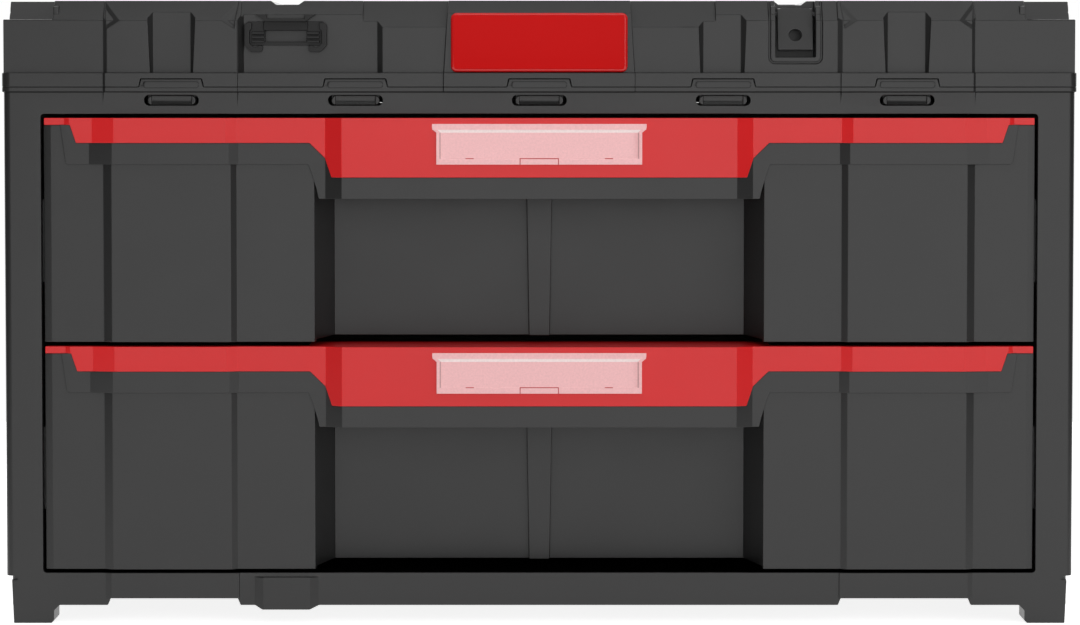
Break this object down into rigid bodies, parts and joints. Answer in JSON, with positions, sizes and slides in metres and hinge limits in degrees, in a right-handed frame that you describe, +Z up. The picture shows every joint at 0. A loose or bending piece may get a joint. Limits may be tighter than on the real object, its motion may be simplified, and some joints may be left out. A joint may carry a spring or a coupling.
{
  "type": "portable tool box with drawers",
  "caption": "Stackable portable tool box: a moulded case with sliding drawers on telescopic slides, a closed lid with a folding carry handle, side latches, a stacking catch and a lock lever.",
  "frame": {"origin": "on the ground under the middle of the box's bounding box", "axes": "+X to the right seen from the front, +Y to the back, +Z up"},
  "size_m": [0.585, 0.385, 0.34],
  "materials": {
    "body_plastic": "fine moulded texture",
    "lid_plastic": "fine moulded texture",
    "fitting_plastic": "fine moulded texture",
    "drawer_plastic": "fine moulded texture",
    "handle_plastic": "satin",
    "badge_plastic": "gloss",
    "window_plastic": "clear",
    "card_paper": "matte",
    "slide_steel": "zinc plated",
    "fastener_steel": "zinc plated",
    "grip_rubber": "matte"
  },
  "bodies": {
    "frame": {"carcass": "body_plastic", "top_cover": "lid_plastic", "badge_plate": "badge_plastic", "stacking_catch": "fitting_plastic", "lock_pin": "fastener_steel", "lock_spring": "fastener_steel", "carry_pins": "fastener_steel", "left_latch_pin": "fastener_steel", "right_latch_pin": "fastener_steel", "upper_left_cabinet_rail": "slide_steel", "upper_right_cabinet_rail": "slide_steel", "lower_left_cabinet_rail": "slide_steel", "lower_right_cabinet_rail": "slide_steel", "cabinet_rail_screws": "fastener_steel"},
    "carry_handle_body": {"carry_handle": "fitting_plastic", "carry_grip": "grip_rubber"},
    "lock_lever_body": {"lock_lever": "fitting_plastic"},
    "left_latch_body": {"left_latch": "fitting_plastic"},
    "right_latch_body": {"right_latch": "fitting_plastic"},
    "upper_drawer": {"upper_tray": "drawer_plastic", "upper_handle_bracket": "drawer_plastic", "upper_handle_cover": "handle_plastic", "upper_label_window": "window_plastic", "upper_label_card": "card_paper", "upper_left_drawer_rail": "slide_steel", "upper_right_drawer_rail": "slide_steel", "upper_drawer_screws": "fastener_steel"},
    "upper_mid_rails": {"upper_left_mid_rail": "slide_steel", "upper_right_mid_rail": "slide_steel", "upper_left_ball_cages": "slide_steel", "upper_right_ball_cages": "slide_steel"},
    "lower_drawer": {"lower_tray": "drawer_plastic", "lower_handle_bracket": "drawer_plastic", "lower_handle_cover": "handle_plastic", "lower_label_window": "window_plastic", "lower_label_card": "card_paper", "lower_left_drawer_rail": "slide_steel", "lower_right_drawer_rail": "slide_steel", "lower_drawer_screws": "fastener_steel"},
    "lower_mid_rails": {"lower_left_mid_rail": "slide_steel", "lower_right_mid_rail": "slide_steel", "lower_left_ball_cages": "slide_steel", "lower_right_ball_cages": "slide_steel"}
  },
  "joints": [
    {"name": "upper_drawer_slide", "type": "slide", "parent": "frame", "child": "upper_drawer", "axis": [0, -1, 0], "range_m": [0, 0.3]},
    {"name": "upper_mid_rail_slide", "type": "slide", "parent": "frame", "child": "upper_mid_rails", "axis": [0, -1, 0], "range_m": [0, 0.15]},
    {"name": "lower_drawer_slide", "type": "slide", "parent": "frame", "child": "lower_drawer", "axis": [0, -1, 0], "range_m": [0, 0.3]},
    {"name": "lower_mid_rail_slide", "type": "slide", "parent": "frame", "child": "lower_mid_rails", "axis": [0, -1, 0], "range_m": [0, 0.15]},
    {"name": "carry_handle_fold", "type": "hinge", "parent": "frame", "child": "carry_handle_body", "pos_m": [0, 0.03605, 0.3256], "axis": [-1, 0, 0], "range_deg": [0, 90]},
    {"name": "lock_lever_swing", "type": "hinge", "parent": "frame", "child": "lock_lever_body", "pos_m": [0.1394, -0.1693, 0.3325], "axis": [-1, 0, 0], "range_deg": [0, 60], "stiffness_Nm_per_rad": 0.02, "springref_deg": -28.65},
    {"name": "left_latch_swing", "type": "hinge", "parent": "frame", "child": "left_latch_body", "pos_m": [-0.286, 0.00305, 0.016], "axis": [0, -1, 0], "range_deg": [0, 180]},
    {"name": "right_latch_swing", "type": "hinge", "parent": "frame", "child": "right_latch_body", "pos_m": [0.286, 0.00305, 0.016], "axis": [0, 1, 0], "range_deg": [0, 180]}
  ],
  "couplings": [
    {"joint": "upper_mid_rail_slide", "follows": "upper_drawer_slide", "ratio": 0.5},
    {"joint": "lower_mid_rail_slide", "follows": "lower_drawer_slide", "ratio": 0.5}
  ]
}
